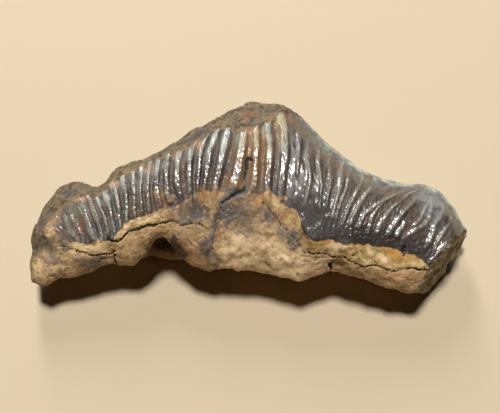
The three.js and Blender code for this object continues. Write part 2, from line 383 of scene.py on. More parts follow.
# %% Roll the sheet
def roll_up(controls):
    """Rows of points round each section, on the closed curve through its control points."""
    whole = np.floor(place).astype(int)
    share = (place - whole)[:, None]
    four = [controls[:, (whole + step) % ROUND] for step in (-1, 0, 1, 2)]
    return spline(*four, share)


def close_ends(points):
    """Shrinks the columns past the end stations to a point and lets the ends bulge."""
    pole = points.mean(axis=1, keepdims=True)
    shrunk = pole + (points - pole) * np.cos(closing * math.pi / 2)[:, None, None]
    bulge = np.where(side > 0, BREAK_BULGE, -LEFT_BULGE) * np.sin(closing * math.pi / 2)
    shrunk[:, :, 0] += bulge[:, None]
    return shrunk


def normals_of(points):
    """The outward direction at each point of the sheet."""
    along_tooth = np.gradient(points, axis=0)
    round_section = np.roll(points, -1, axis=1) - np.roll(points, 1, axis=1)
    round_section[:, 0] = points[:, 1] - points[:, -2]
    round_section[:, -1] = round_section[:, 0]
    outward = np.cross(round_section, along_tooth)
    length = np.linalg.norm(outward, axis=2, keepdims=True)
    sideways = np.broadcast_to(side[:, None, None] * np.array([1, 0, 0]), outward.shape)
    return np.where(length > 1e-9, outward / np.maximum(length, 1e-9), sideways)


plain = close_ends(roll_up(section(station))) + SHIFT
outward = normals_of(plain)
X, Y, Z = plain[:, :, 0], plain[:, :, 1], plain[:, :, 2]
print("smooth tooth, mm:", plain.min(axis=(0, 1)).round(2), plain.max(axis=(0, 1)).round(2))


# %% [markdown]
# ## Zones and strokes
# Everything that comes now is drawn with four tools: a zone between two places, a soft patch, a stroke
# along a line, and noise. The noise is Blender's own and has no seed to forget. The patch and the stroke
# read x and y that noise has pushed about a little, so no edge comes out as a clean curve.

# %% Noise on the sheet
def noise_at(spots, octaves):
    """Fractal noise at a spot for each point of the sheet, about -1 to 1."""
    values = [noise.fractal(spot, 1, 2, octaves) for spot in spots.reshape(-1, 3).tolist()]
    return np.array(values).reshape(X.shape)


def noise_field(size, octaves=4, offset=0, along_ridges=1):
    """Noise with lumps of a size in millimetres, which can be longer along the ridges."""
    return noise_at((plain + offset) / (np.array([1, along_ridges, along_ridges]) * size), octaves)


broad = noise_field(1.6, 3)
medium = noise_field(0.55, 4, 11)
fine = noise_field(0.16, 3, 23)
grit = noise_field(0.07, 2, 37)
streaky = noise_field(0.22, 3, 41, 4)
warped_x = X + 0.2 * broad + 0.14 * medium + 0.04 * fine
warped_y = Y + 0.2 * noise_field(1.3, 3, 67) + 0.14 * noise_field(0.5, 4, 53) + 0.04 * grit
print("noise spread:", np.std([broad, medium, fine, grit], axis=(1, 2)).round(2))


# %% Zones, patches and strokes
def zone(start, end, at, soft=0.3):
    """1 between start and end, with soft edges."""
    return smooth(start - soft, start + soft, at) * fade(end - soft, end + soft, at)


front = zone(0.5, 11, PLACE) * fade(0, 0.4, CLOSING * (STATION > 9))


def patch(x, y, half_width, half_height, tilt=0):
    """A soft spot on the side that the photograph shows."""
    turn = math.radians(tilt)
    right, up = warped_x - x, warped_y - y
    across = (right * math.cos(turn) + up * math.sin(turn)) / half_width
    along = (up * math.cos(turn) - right * math.sin(turn)) / half_height
    return np.exp(-(across ** 2 + along ** 2)) * front


def patches(spots):
    """Several spots in one mask."""
    return most(*[patch(*spot) for spot in spots])


def distance_to(line, x, y):
    """How far each point is from a line of straight pieces, and how far along the line that is, 0 to 1."""
    nearest = np.full(X.shape, 1e9)
    reached = np.zeros(X.shape)
    line = np.array(line)
    for piece in range(len(line) - 1):
        start, reach = line[piece], line[piece + 1] - line[piece]
        share = np.clip(((x - start[0]) * reach[0] + (y - start[1]) * reach[1]) / (reach @ reach), 0, 1)
        away = np.hypot(x - start[0] - share * reach[0], y - start[1] - share * reach[1])
        closer = away < nearest
        nearest = np.where(closer, away, nearest)
        reached = np.where(closer, (piece + share) / (len(line) - 1), reached)
    return nearest, reached


print("share of the sheet on the front:", front.mean().round(2))

# %% [markdown]
# ## Ridges
# The crown's ridges are what people notice first. On the left and in the middle they are fat cords with
# narrow valleys, so their height follows the distance to the nearest cord's top. On the right they are thin
# lines with broad flat valleys between them, and fan out, so each is a stroke along its own line.

# %% Where the cords cross the middle of the face, and how they lean and sway
CORDS = np.array([
    -8.2, -7.45, -7, -6.62, -6.3, -5.98, -5.6, -5.15, -4.75, -4.38, -3.96, -3.5, -3, -2.43, -1.95, -1.6,
    -1.08, -0.3, 0.33, 0.8, 1.46, 2.15, 2.65,
])
CORDS_END = 1.75
CORD_LEAN, LEAN_CENTRE, LEAN_REACH = 0.16, -1.5, 1.3
below_middle = np.minimum(PLACE, CROWN_BASE) - FACE_MIDDLE
lean = CORD_LEAN * bell(X - LEAN_CENTRE, LEAN_REACH) * below_middle
sway = 0.05 * np.sin(1.3 * PLACE + 0.9 * X) + 0.06 * broad + 0.03 * noise_field(0.4, 2, 5, 3)
crossing = np.interp(STATION, dense, middle_x) + sway + lean
is_cord = zone(CORDS[0] - 0.2, CORDS_END, crossing, 0.12)
print("cords:", len(CORDS))

# %% The cords' section: a flat valley, steep sides and a rounded top
VALLEY_FLOOR, CORD_TOP = 0.06, 0.74
cord_number = np.interp(crossing, CORDS, np.arange(len(CORDS)))
from_top = cord_number - np.round(cord_number)
hump = 0.5 + 0.5 * np.cos(2 * math.pi * from_top)
cord = smooth(VALLEY_FLOOR, CORD_TOP, hump) * is_cord
cord_strength = 0.8 + 0.2 * np.sin(np.round(cord_number) * 2.4 + 0.5)
past_left_end = smooth(-7.5, -6.7, X)
cord_strength *= mix(0.3, 1, past_left_end)
print("weakest and strongest cord:", cord_strength.min().round(2), cord_strength.max().round(2))


# %% Threads: noise drawn out along the stations, so it runs down the face as the ridges do
def threads_of(per_station, per_place, octaves):
    """Noise whose lumps are much longer down the section than along the tooth."""
    spots = np.stack([STATION * per_station, PLACE * per_place, np.zeros_like(X)], axis=2)
    return noise_at(spots, octaves)


threads = threads_of(8, 1.1, 3)
print("threads:", threads.min().round(2), "to", threads.max().round(2))

# %% The thin ridges on the right, drawn from the crest down to the root
THIN_RIDGES = [
    [(2.11, 2.5), (2.19, 2.1), (2.23, 1.62), (2.17, 1.12), (2.12, 0.58), (2.07, 0.03)],
    [(2.72, 2.45), (2.56, 1.87), (2.59, 1.34), (2.67, 0.32), (2.58, -0.35), (2.42, -0.91), (2.26, -1.3)],
    [(3.24, 2.21), (3.1, 1.6), (3.08, 0.97), (3.2, -0.14), (3.12, -0.62), (3.07, -1.03), (3.11, -1.44)],
    [(3.74, 1.82), (3.54, 1), (3.6, 0.04), (3.49, -0.46), (3.39, -0.98), (3.3, -1.39)],
    [(4.3, 1.56), (4.08, 0.71), (4.04, -0.05), (3.83, -0.77), (3.69, -1.36), (3.55, -1.85)],
    [(4.69, 1.24), (4.43, 0.49), (4.3, -0.16), (4.06, -0.85), (3.85, -1.44), (3.73, -1.95)],
    [(5.14, 0.79), (5.1, 0.4), (4.8, -0.28), (4.45, -1.02), (4.17, -1.62), (3.99, -2.11)],
    [(5.45, -0.02), (5.19, -0.43), (4.91, -0.89), (4.69, -1.29), (4.53, -1.65), (4.35, -2.09)],
    [(5.9, -0.87), (5.67, -1.11), (5.44, -1.53), (5.29, -1.99), (5.15, -2.43)],
    [(6.52, -0.32), (6.15, -0.59), (5.54, -1.04), (5.06, -1.45), (4.9, -1.76), (4.71, -2.21)],
    [(6.21, -1.14), (6, -1.51), (5.75, -1.9), (5.56, -2.35)],
    [(7.87, 0.32), (7.26, -0.14), (6.79, -0.59), (6.3, -1.08), (6.07, -1.44), (5.8, -1.76), (5.43, -2.34)],
    [(6.87, -1.69), (6.69, -2.01), (6.45, -2.41)],
    [(7.5, -0.44), (7.18, -0.82), (6.85, -1.16), (6.46, -1.71), (6.25, -2.06), (6.11, -2.38)],
    [(7.96, -0.72), (7.78, -1.16), (7.54, -1.55), (7.19, -1.92)],
    [(8.16, -0.36), (8.15, -0.92), (8.05, -1.37), (7.81, -1.72), (7.43, -1.95), (6.68, -2.48)],
    [(8.73, -0.43), (8.73, -0.83), (8.53, -1.38), (8.27, -1.72), (8.05, -2.39), (7.86, -2.75)],
    [(9.15, -0.96), (8.9, -1.63), (8.59, -2.13), (8.3, -2.59), (8.07, -3.12)],
]
THIN_HALF_WIDTH = 0.075
thin = np.zeros_like(X)
for number, line in enumerate(THIN_RIDGES):
    away_from, reached = distance_to(line, X + 0.05 * broad + 0.02 * medium, Y)
    taper = smooth(-0.12, 0.06, reached) * fade(0.85, 1.02, reached)
    width = THIN_HALF_WIDTH * (1 + 0.35 * np.sin(number * 2.1) + 0.5 * medium)
    strength = 0.85 + 0.15 * np.sin(number * 3.7)
    thin = most(thin, bell(away_from, width) * taper * strength)
print("thin ridges:", len(THIN_RIDGES))

# %% The edge of the worn band under the crest, and where ridges fade
WORN_EDGE = np.array([
    (-9.5, -1.8), (-8.55, -1.15), (-8.27, -0.82), (-7.87, -0.6), (-7.42, -0.43), (-7.05, -0.5), (-6.74, -0.3),
    (-6.4, 0.01), (-5.96, 0.34), (-5.41, 0.67), (-4.76, 1.02), (-4.07, 1.19), (-3.16, 1.46), (-2.57, 1.78),
    (-2.04, 2.2), (-1.59, 2.42), (-1.14, 2.41), (-0.69, 2.39), (-0.33, 2.35), (-0.01, 2.48), (0.53, 2.64),
    (0.89, 2.88), (1.22, 3.29), (1.5, 3.68), (1.85, 4.07), (2.6, 5), (12, 6),
])
WORN_EDGE_SOFTNESS = 0.12
edge_x = X + 0.05 * fine + 0.1 * medium
past_edge = Y - np.interp(edge_x, WORN_EDGE[:, 0], WORN_EDGE[:, 1]) + 0.22 * medium + 0.08 * fine - 0.1 * cord
worn_front = smooth(-WORN_EDGE_SOFTNESS, WORN_EDGE_SOFTNESS, past_edge) * fade(4, 5, PLACE)
edge_wander = 0.35 * medium + 0.12 * fine
above_edge = smooth(0.35, 0.9, PLACE + 0.5 * edge_wander) * (1 - worn_front)
on_face = above_edge * fade(4.6, 5.15, PLACE + 0.3 * medium)
on_back = smooth(BACK_NECK, BACK_NECK + 0.6, PLACE) * fade(BACK_SHOULDER, ROUND, PLACE)
on_body = fade(0, 0.3, CLOSING)
print("worn band covers:", worn_front.mean().round(3))

# %% Height of all ridges
CORD_RELIEF, THIN_RELIEF, BACK_RELIEF, THREAD_RELIEF = 0.17, 0.065, 0.07, 0.01
back_cord = hump * zone(CORDS[0], 8.4, crossing, 0.3)
ridge_relief = on_body * (
    on_face * (CORD_RELIEF * cord_strength * (cord - 0.5 * is_cord) + THIN_RELIEF * thin * front)
    + on_face * THREAD_RELIEF * threads * mix(0.6, 1, is_cord)
    + on_back * BACK_RELIEF * (back_cord - 0.5)
)
print("highest ridge, mm:", ridge_relief.max().round(3))

# %% [markdown]
# ## Root, worn crest and break
# The root was full of tiny canals, so its surface is lumps on lumps with pits. The crest was worn rough,
# and the right end is a fresh break: layered and sharp. All three are noise of several sizes, each kept
# to its own zone.

# %% Rough zones
on_root = zone(CROWN_BASE + 0.1, BACK_NECK + 0.5, PLACE)
crest_width = mix(0.5, 0.15, smooth(0.8, 1.5, X))
from_crest = np.minimum(PLACE + 0.5 * edge_wander, (ROUND - PLACE) * 1.2)
near_crest = fade(crest_width, crest_width + 0.5, from_crest)
on_crest = most(near_crest, worn_front)
on_left_end = fade(0.8, 1.9, STATION + 0.5 * medium)
on_break = smooth(0, 0.25, CLOSING) * (STATION > LAST / 2)
on_lip = zone(7.6, 9.8, PLACE, 0.5)
rough_zone = most(on_root, on_crest, on_left_end, on_break)
print("rough share:", rough_zone.mean().round(2))

# %% Lumps, pits and crevices
LUMP_HEIGHT, SWELL_HEIGHT, LIP_LUMP_HEIGHT = 0.05, 0.045, 0.08
GRAIN_HEIGHTS = 0.045, 0.016, 0.006
CREST_GRAIN_HEIGHT, PIT_DEPTH, CREVICE_DEPTH = 0.012, 0.05, 0.035
lumps = (
    np.sin(2.3 * X + 1.7 * Y) * np.sin(1.9 * Y - 2.6 * Z + 0.8)
    + 0.5 * np.sin(4.7 * X - 3.1 * Z + 2) * np.sin(3.9 * Y + 0.5 * X)
)
lip_lumps = on_lip * noise_field(0.6, 4, 83)
lump_relief = LUMP_HEIGHT * lumps + SWELL_HEIGHT * broad + LIP_LUMP_HEIGHT * lip_lumps
lump_relief = mix(0.2, 1, rough_zone) * lump_relief
worn_smooth = 1 - 0.8 * on_left_end
pits = smooth(0.32, 0.75, noise_field(0.28, 3, 71)) * rough_zone * worn_smooth
fibres = noise_field(0.5, 4, 91, 0.45)
crevices = fade(0, 0.09, np.abs(fibres)) * smooth(-0.2, 0.4, broad) * on_root
grain_relief = sum(height * field for height, field in zip(GRAIN_HEIGHTS, (medium, fine, grit)))
grain_relief = worn_smooth * rough_zone * grain_relief
grain_relief += CREST_GRAIN_HEIGHT * on_crest * on_body * (fine + grit)
grain_relief -= PIT_DEPTH * pits + CREVICE_DEPTH * crevices
print("share with pits:", (pits > 0.3).mean().round(3))

# %% Dents in the enamel, a sunken place beside the middle, and the layers in the break
DENT_ON_FLAT, DENT_ON_CORD, SMALL_DENT, STREAK = 0.01, 0.016, 0.02, 0.006
SUNKEN_DEPTH, LAYER_SPACING, LAYER_HEIGHT, BREAK_LUMP = 0.14, 0.3, 0.03, 0.06
dent_height = mix(DENT_ON_FLAT, DENT_ON_CORD, is_cord)
dents = on_face * on_body * (dent_height * fine + SMALL_DENT * grit + STREAK * streaky)
sunken = SUNKEN_DEPTH * patch(2.35, -1.35, 0.65, 0.7)
layer_number = (0.8 * (Y + 0.6 * Z) + 0.25 * medium) / LAYER_SPACING
layers = np.sin(2 * math.pi * layer_number)
break_relief = on_break * (LAYER_HEIGHT * layers + BREAK_LUMP * medium)
print("deepest dent, mm:", dents.min().round(3), "layers in the break:", np.ptp(layer_number[-1]).round(1))

# %% [markdown]
# ## Cracks
# Cracks part the crown from the root and climb the crown's face. Each is a stroke with a sharp floor,
# wide in one place and closed in the next, and it is coloured near black.

# %% Lines of the cracks, each after its width as a multiple of the half width below
CRACKS = {
    "left neck": (0.8, [
        (-8.41, -2.59), (-8.05, -2.76), (-7.78, -2.85), (-7.51, -2.9), (-7.15, -3.01), (-6.83, -3.05),
        (-6.52, -3), (-6.16, -2.97), (-6.02, -2.87),
    ]),
    "left step": (1, [(-6.11, -2.83), (-6.08, -3.03), (-6.01, -3.19)]),
    "left rise": (1, [
        (-6.32, -2.41), (-6.1, -2.49), (-5.89, -2.48), (-5.67, -2.36), (-5.45, -2.08), (-5.18, -2.01),
        (-4.92, -1.93), (-4.56, -1.8), (-4.28, -1.83), (-4.02, -1.75), (-3.7, -1.71), (-3.35, -1.63),
    ]),
    "left tail": (0.7, [
        (-3.35, -1.67), (-3.12, -1.85), (-2.86, -1.8), (-2.59, -1.75), (-2.32, -1.77), (-2.1, -1.9),
        (-1.88, -2.09),
    ]),
    "crown": (1.6, [
        (0.12, 0.91), (-0.1, 1.06), (-0.15, 0.65), (-0.19, 0.46), (-0.28, 0.16), (-0.28, -0.1),
        (-0.28, -0.39), (-0.41, -0.5), (-0.63, -0.59), (-0.85, -0.71), (-1.08, -0.83), (-1.25, -0.95),
    ]),
    "under the crown": (0.4, [
        (-1.25, -0.95), (-1.39, -1.25), (-1.52, -1.66), (-1.56, -2.08), (-1.65, -2.48), (-1.7, -2.88),
        (-1.75, -3.12),
    ]),
    "middle right": (0.45, [
        (0.52, -0.95), (0.69, -1.11), (0.83, -1.28), (1.05, -1.45), (1.22, -1.62), (1.36, -1.95),
        (1.58, -2.11), (1.8, -2.31), (2.02, -2.59), (2.2, -2.82),
    ]),
    "right neck": (0.75, [
        (2.2, -2.82), (2.33, -3.08), (2.59, -3.17), (2.9, -3.22), (3.17, -3.17), (3.52, -3.19),
        (3.88, -3.24), (4.19, -3.27), (4.41, -3.39), (4.68, -3.51), (5.04, -3.62), (5.39, -3.58),
        (5.66, -3.61), (6.01, -3.74), (6.37, -3.81), (6.64, -3.75), (6.97, -3.64), (7.23, -3.6),
        (7.51, -3.67), (7.81, -3.69),
    ]),
    "right tick": (1, [(6.87, -2.75), (6.82, -3.1)]),
    "right dip": (0.6, [(5.48, -3.4), (5.66, -3.56)]),
    "right spur": (0.5, [(4.54, -3.14), (4.93, -3)]),
    "right end": (1.6, [(8.85, -2.73), (8.55, -3.04), (8.31, -3.28), (8.06, -3.54), (7.88, -3.81)]),
    "notch": (1, [(3.63, -3.51), (3.55, -3.47), (3.68, -3.39)]),
}
CRACK_HALF_WIDTH, CRACK_DEPTH = 0.032, 0.12
crack_x, crack_y = X + 0.06 * fine + 0.04 * medium, Y + 0.05 * grit + 0.04 * medium
unevenness = 1 + 0.9 * np.clip(medium, -1, 1)
cracks = np.zeros_like(X)
for width, line in CRACKS.values():
    half_width = CRACK_HALF_WIDTH * width * unevenness
    cracks = most(cracks, bell(distance_to(line, crack_x, crack_y)[0], half_width))
cracks *= front
print("cracks:", len(CRACKS), "share of the sheet:", (cracks > 0.4).mean().round(4))

# %% Push the sheet out and in
relief = ridge_relief + dents - sunken + lump_relief + grain_relief + break_relief - CRACK_DEPTH * cracks
end_strength = fade(0.75, 1, CLOSING)
tooth_points = plain + outward * (relief * end_strength)[:, :, None]
tooth_points[:, :, 2] = np.maximum(tooth_points[:, :, 2], 0)
print("finished tooth, mm:", tooth_points.min(axis=(0, 1)).round(2), tooth_points.max(axis=(0, 1)).round(2))

# %% [markdown]
# ## Stains
# The colour isn't painted on: it is written down point by point as how much of each stain there is, and
# the material mixes its colours from that.
# Each stain is a mask from 0 to 1. A mask comes from places for what follows the anatomy, and from patches
# and brush strokes for what the ground did by chance. Some masks paint light and shade instead: the sheen
# and the rim highlight on the right, the paler lip, the lit shelf and the shade under the arch, and the
# shade low on the right. The pale ridge stripes are partly painted light.

# %% Enamel: where it is and how it shines, painted shade low on the right, and a painted sheen up the right
in_middle = zone(6.5, 11, STATION, 0.8)
enamel_low = CROWN_BASE + 0.05 - 0.25 * in_middle + (0.3 + 0.5 * in_middle) * medium
enamel_front = fade(-1, 1, (PLACE - enamel_low) / mix(0.15, 0.5, in_middle))
enamel_back = smooth(13, 13.4, PLACE + 0.4 * medium)
enamel = most(enamel_front, enamel_back) * on_body * (1 - on_left_end)
on_right = smooth(1.9, 2.6, X + 0.5 * broad + 0.3 * medium)
base_strip = on_right * smooth(3.6, 4.6, PLACE + 0.5 * medium)
sunken_place = patch(2.85, -1.65, 1.4, 1.1)
upper_right = on_right * fade(1, 2.4, PLACE)
gloss = (1 - sunken_place - 0.1 * base_strip - 0.6 * upper_right) * (1 - 0.75 * is_cord * (1 - cord))
gloss = np.clip(gloss, 0, 1) * (1 - 0.7 * patch(-7.9, -1.6, 0.6, 0.8))
# Painted shade: darker low on the right, where the face turns from the light, and in the sunken place.
painted_low_shade = most(base_strip, sunken_place) * front
# Painted sheen: a pale grey-blue reflection up the right of the face, and in one patch near the right end.
painted_sheen = on_right * fade(0.8, 2.4, PLACE + 0.4 * threads) * 0.45 + 0.8 * patch(8.1, -0.8, 0.6, 0.8)
# A pale rim along the right crest: the enamel's own pale edge, with a painted highlight on it.
edge_light = np.minimum(PLACE + 0.4 * medium, 2 * (ROUND - PLACE))
pale_rim_and_highlight = on_right * fade(0.3, 1.1, edge_light) * on_body
pale_rim_and_highlight *= mix(0.5 * smooth(1.8, 5.5, X + 0.9 * broad), 1, front)
print("enamel covers:", enamel.mean().round(2))

# %% Pale stripe on each ridge, partly its own pale colour and partly painted light
# On the cords it lies left of the top, on the lit flank, and it is wider up the face.
LIT_FLANK_OFFSET = -0.09
stripe_width = mix(0.38, 0.27, smooth(2, 3.6, PLACE + 0.5 * medium))
stripe = bell(from_top - LIT_FLANK_OFFSET, stripe_width) * is_cord
down_face = smooth(2.4, 3.8, PLACE + 0.5 * medium)
stripe *= 1 - mix(0.7, 0.3, fade(-6.5, -3, X)) * down_face
stripe *= 0.8 + 0.6 * threads
stripe *= mix(0.35, 1, past_left_end)
thin_stripe = 0.68 * thin * front * (0.85 + 0.4 * fine)
ridge_mask = on_face * most(stripe, thin_stripe) + 0.5 * on_back * back_cord
ridge_mask = ridge_mask * on_body
print("ridge stripe, highest:", ridge_mask.max().round(2))

# %% Ochre band along the crown's lower edge, with a golden line on its upper side
ochre_left = zone(1, 8.4, STATION) * zone(4.95, 5.95, PLACE, 0.15)
ochre_right = zone(11.3, 17.6, STATION) * zone(4.9, 5.98, PLACE, 0.12)
honey = patches([
    (1.62, -1.66, 0.35, 0.55), (1, -0.86, 0.45, 0.3), (-3.3, -1.05, 0.5, 0.25), (-4.2, -1.25, 0.6, 0.2),
])
ochre = most(ochre_left * 0.85, ochre_right, honey) * (0.8 + 0.4 * medium)
golden_line = ochre_right * fade(5.1, 5.4, PLACE + 0.25 * medium)
gold = most(golden_line * (0.5 + 1.2 * broad), patch(6.8, -2.9, 0.9, 0.3))
print("ochre covers:", ochre.mean().round(3))


# %% Brush strokes for stains that run along a line
def brush(line, half_width):
    """A soft stroke with an uneven edge."""
    return bell(distance_to(line, warped_x, warped_y)[0], half_width) * front


def brushes(lines, half_width):
    """Several strokes in one mask."""
    return most(*[brush(line, half_width) for line in lines])


STAIN_COLUMN = [
    (-0.41, -0.5), (-0.81, -0.84), (-1.16, -1.3), (-1.4, -1.75), (-1.5, -2.2), (-1.65, -2.7), (-1.75, -3.2),
]
column_stain = brush(STAIN_COLUMN, 0.28)
crack_fill = brush(CRACKS["crown"][1], 0.11)
print("stain column covers:", column_stain.mean().round(4))

# %% Stains of the ground, as patches: x, y, half width, half height and tilt
rust = patches([
    (-0.5, -0.85, 0.3, 0.3), (-2.05, -0.7, 0.25, 0.4), (-1.3, -2.85, 0.28, 0.3), (-1.25, -2.2, 0.15, 0.3),
    (-3.79, -0.95, 0.45, 0.25), (-7.55, -1.85, 0.32, 0.5), (-0.05, 3.4, 0.45, 0.3), (1.77, 3.35, 0.2, 0.37),
    (5.45, 0.64, 0.25, 0.18), (0.3, -0.8, 0.25, 0.3), (-2.9, -2.9, 0.45, 0.3), (1.5, -1.35, 0.25, 0.2),
    (-2.95, -2.75, 0.3, 0.35),
])
amber = patches([
    (0.1, 1.1, 0.9, 2.2), (-0.68, -0.12, 0.5, 0.6), (1.3, 2.6, 0.3, 1.2), (-4, -0.5, 0.4, 0.3),
])
blue_grey = most(column_stain, patches([
    (-2.3, -1.3, 0.7, 0.25, 20), (-1.39, -2.54, 0.22, 0.16), (-1.75, -3.1, 0.16, 0.18),
    (1.89, -2.43, 0.25, 0.4), (-0.75, -1.5, 0.3, 0.35), (-8.36, -0.15, 0.25, 0.27), (1.05, 3.73, 0.3, 0.2),
    (0.08, 3.07, 0.2, 0.14), (-2.5, 2.35, 0.8, 0.22, 30), (0.8, -1.5, 0.2, 0.2),
]))
purple = patches([
    (-2.6, -1.3, 1, 0.4), (-0.4, -1.45, 0.75, 0.6), (0.87, -1.5, 0.5, 0.4), (-1.96, -2.75, 0.35, 0.4),
    (-8.72, -3.1, 0.41, 0.3), (-9.23, -1.4, 0.4, 0.6), (-7, -3.25, 0.9, 0.2), (-0.2, -2.3, 0.5, 0.22),
    (-3.1, -2.6, 0.25, 0.25), (1.5, -2.1, 0.3, 0.3),
])
peach = patches([
    (-4.59, 0.85, 0.3, 0.3), (-3.39, 1.55, 0.25, 0.3), (-2.3, 1.85, 0.2, 0.3), (-5.53, 0.71, 0.4, 0.25),
    (-6.08, 0.22, 0.3, 0.3), (-7.6, -0.5, 0.6, 0.2), (-8.6, -1.2, 0.2, 0.5), (0.1, 2.5, 0.6, 0.2),
    (-4.1, -2.12, 0.35, 0.12), (6.64, -4, 1.2, 0.3), (-2.3, -3.2, 0.6, 0.15), (0.4, -2.9, 0.5, 0.2),
])
olive = patches([
    (-2.54, -2.09, 0.9, 0.2), (-0.1, -2, 0.7, 0.3), (-7.6, -1.1, 0.6, 0.5), (-7, 0.4, 0.9, 0.4, 20),
    (-8, 0.9, 0.8, 0.3), (2.4, -2.75, 0.4, 0.15), (0.2, 3.9, 0.9, 0.25), (-4.3, 1.6, 2, 0.32, 30),
    (3.2, 2.2, 1.1, 0.35, -50), (5, 0.8, 1.2, 0.3, -35),
])
print("share of the sheet under rust:", rust.mean().round(3), "under purple:", purple.mean().round(3))

# %% Pale places, painted light on the lip, painted shade and light under the arch, and the worn skin
lobe = 0.3 * patches([(-9.25, -3.6, 0.7, 0.7), (-8.9, -2.9, 0.5, 0.4), (-8.9, -1.6, 0.3, 0.9, 20)])
# Painted light: the root's lip is made paler, where its shape turns away from the light.
lip_share = 0.1 + 1.0 * zone(-1.5, 3.6, X, 0.8)
lip = lip_share * zone(7, 9.4, PLACE, 0.5) * (0.8 + 0.6 * medium) * front
LEFT_STREAKS = [
    [(-8.3, -1.1), (-8.05, -1.75), (-7.75, -2.4)],
    [(-7.8, -0.95), (-7.25, -1.65), (-6.9, -2.35)],
]
CREAM_STROKES = [
    [(-7.82, -2.45), (-6.91, -2.7), (-6.4, -2.75)],
    [(-6, -2.3), (-5.4, -1.85), (-4.6, -1.62), (-4, -1.55)],
    [(3.6, -2.75), (4.4, -2.8)],
    [(7.5, -2.95), (8, -3.25)],
    [(5.2, -3.1), (6.2, -3.35)],
]
pale_spots = most(patch(-8, -1.75, 0.13, 0.8, -18), 0.8 * brushes(CREAM_STROKES, 0.17))
# Pale stains and the painted light on the lip, in one mask.
pale = most(pale_spots, lobe, lip)
ridge_mask = most(ridge_mask, 0.5 * brushes(LEFT_STREAKS, 0.1) * on_face)
# Painted shade under the arch and on its wall.
under_arch = bell(X - SHIFT[0] - ARCH_X, 0.9 * ARCH_HALF_WIDTH)
arch_wall = brush([(-3.3, -2.45), (-3, -2.85)], 0.14)
painted_arch_shade = most(under_arch * zone(9.3, 10.75, PLACE, 0.2), arch_wall)
# Painted light: a lit reddish shelf under the arch, where that part lies in shade.
painted_ledge_light = bell(X + 4.15, 0.4) * zone(10.9, 12.8, PLACE, 0.2)
bare_tip = patches([(-9.1, -3.5, 1, 0.9), (-8.9, -1.8, 0.3, 0.9, 20)])
worn = most(on_crest * (1 - pale_rim_and_highlight), on_left_end * (1 - 0.9 * bare_tip))
fringe = bell(past_edge - 0.15, 0.22) * worn_front * (0.7 + 0.8 * medium)
print("worn skin covers:", worn.mean().round(3))

# %% Put the sheet into a mesh, with its masks, and close its seam and its ends
MASKS = dict(
    enamel=enamel, ridge=ridge_mask, worn=worn, fringe=fringe, ochre=ochre, gold=gold,
    rust=rust, amber=amber, blue_grey=blue_grey, purple=purple, pale=pale, peach=peach,
    olive=olive, painted_ledge_light=painted_ledge_light, crack=cracks, pit=pits, crevice=crevices, broken=on_break,
    painted_arch_shade=painted_arch_shade, smooth_end=on_left_end, gloss=gloss, painted_low_shade=painted_low_shade, fill=crack_fill,
    painted_sheen=painted_sheen * front, rim=pale_rim_and_highlight, threads=0.5 + 0.5 * threads,
)
CLOSE = 1e-3 * MM


def clay_sheet(columns, rows):
    """A flat grid, and for each of its vertices the column and row that it stands for."""
    bm = bmesh.new()
    bmesh.ops.create_grid(bm, x_segments=columns - 1, y_segments=rows - 1, size=0.5)
    mesh = bpy.data.meshes.new("tooth skin")
    bm.to_mesh(mesh)
    bm.free()
    flat = np.empty(len(mesh.vertices) * 3)
    mesh.vertices.foreach_get("co", flat)
    flat = flat.reshape(-1, 3)
    column = np.rint((flat[:, 0] + 0.5) * (columns - 1)).astype(int)
    row = np.rint((flat[:, 1] + 0.5) * (rows - 1)).astype(int)
    return mesh, column, row


skin, column, row = clay_sheet(*X.shape)
skin.vertices.foreach_set("co", (tooth_points[column, row] * MM).ravel())
for name, mask in MASKS.items():
    layer = skin.attributes.new(name, "FLOAT", "POINT")
    layer.data.foreach_set("value", np.clip(mask[column, row], 0, 1).astype(np.float32))
skin_bmesh = bmesh.new()
skin_bmesh.from_mesh(skin)
bmesh.ops.remove_doubles(skin_bmesh, verts=skin_bmesh.verts, dist=CLOSE)
bmesh.ops.recalc_face_normals(skin_bmesh, faces=skin_bmesh.faces)
for face in skin_bmesh.faces:
    face.smooth = True
open_edges = sum(edge.is_boundary for edge in skin_bmesh.edges)
tooth = link_mesh("fossil_tooth", skin_bmesh)
print("tooth faces:", len(tooth.data.polygons), "open edges:", open_edges)


# %% [markdown]
# ## The finish
# One shader covers the whole tooth, because on the real one the enamel runs into the root without a
# step. The masks say what there is where, and noise breaks up every edge. The two effects that are used
# again and again are node groups: grain of a size, and a stain with a broken edge.

# %% An empty node group
def new_group(name, inputs, outputs):
    """A node group with its sockets, and its two ends."""
    tree = bpy.data.node_groups.new(name, "ShaderNodeTree")
    for label, kind, value in inputs:
        socket = tree.interface.new_socket(label, in_out="INPUT", socket_type=kind)
        if value is not None:
            socket.default_value = value
    for label, kind in outputs:
        tree.interface.new_socket(label, in_out="OUTPUT", socket_type=kind)
    return tree, tree.nodes.new("NodeGroupInput"), tree.nodes.new("NodeGroupOutput")


def math_node(tree, operation):
    """A node for one sum."""
    node = tree.nodes.new("ShaderNodeMath")
    node.operation = operation
    return node


FLOAT, COLOUR = "NodeSocketFloat", "NodeSocketColor"
print("kinds of socket:", FLOAT, COLOUR)

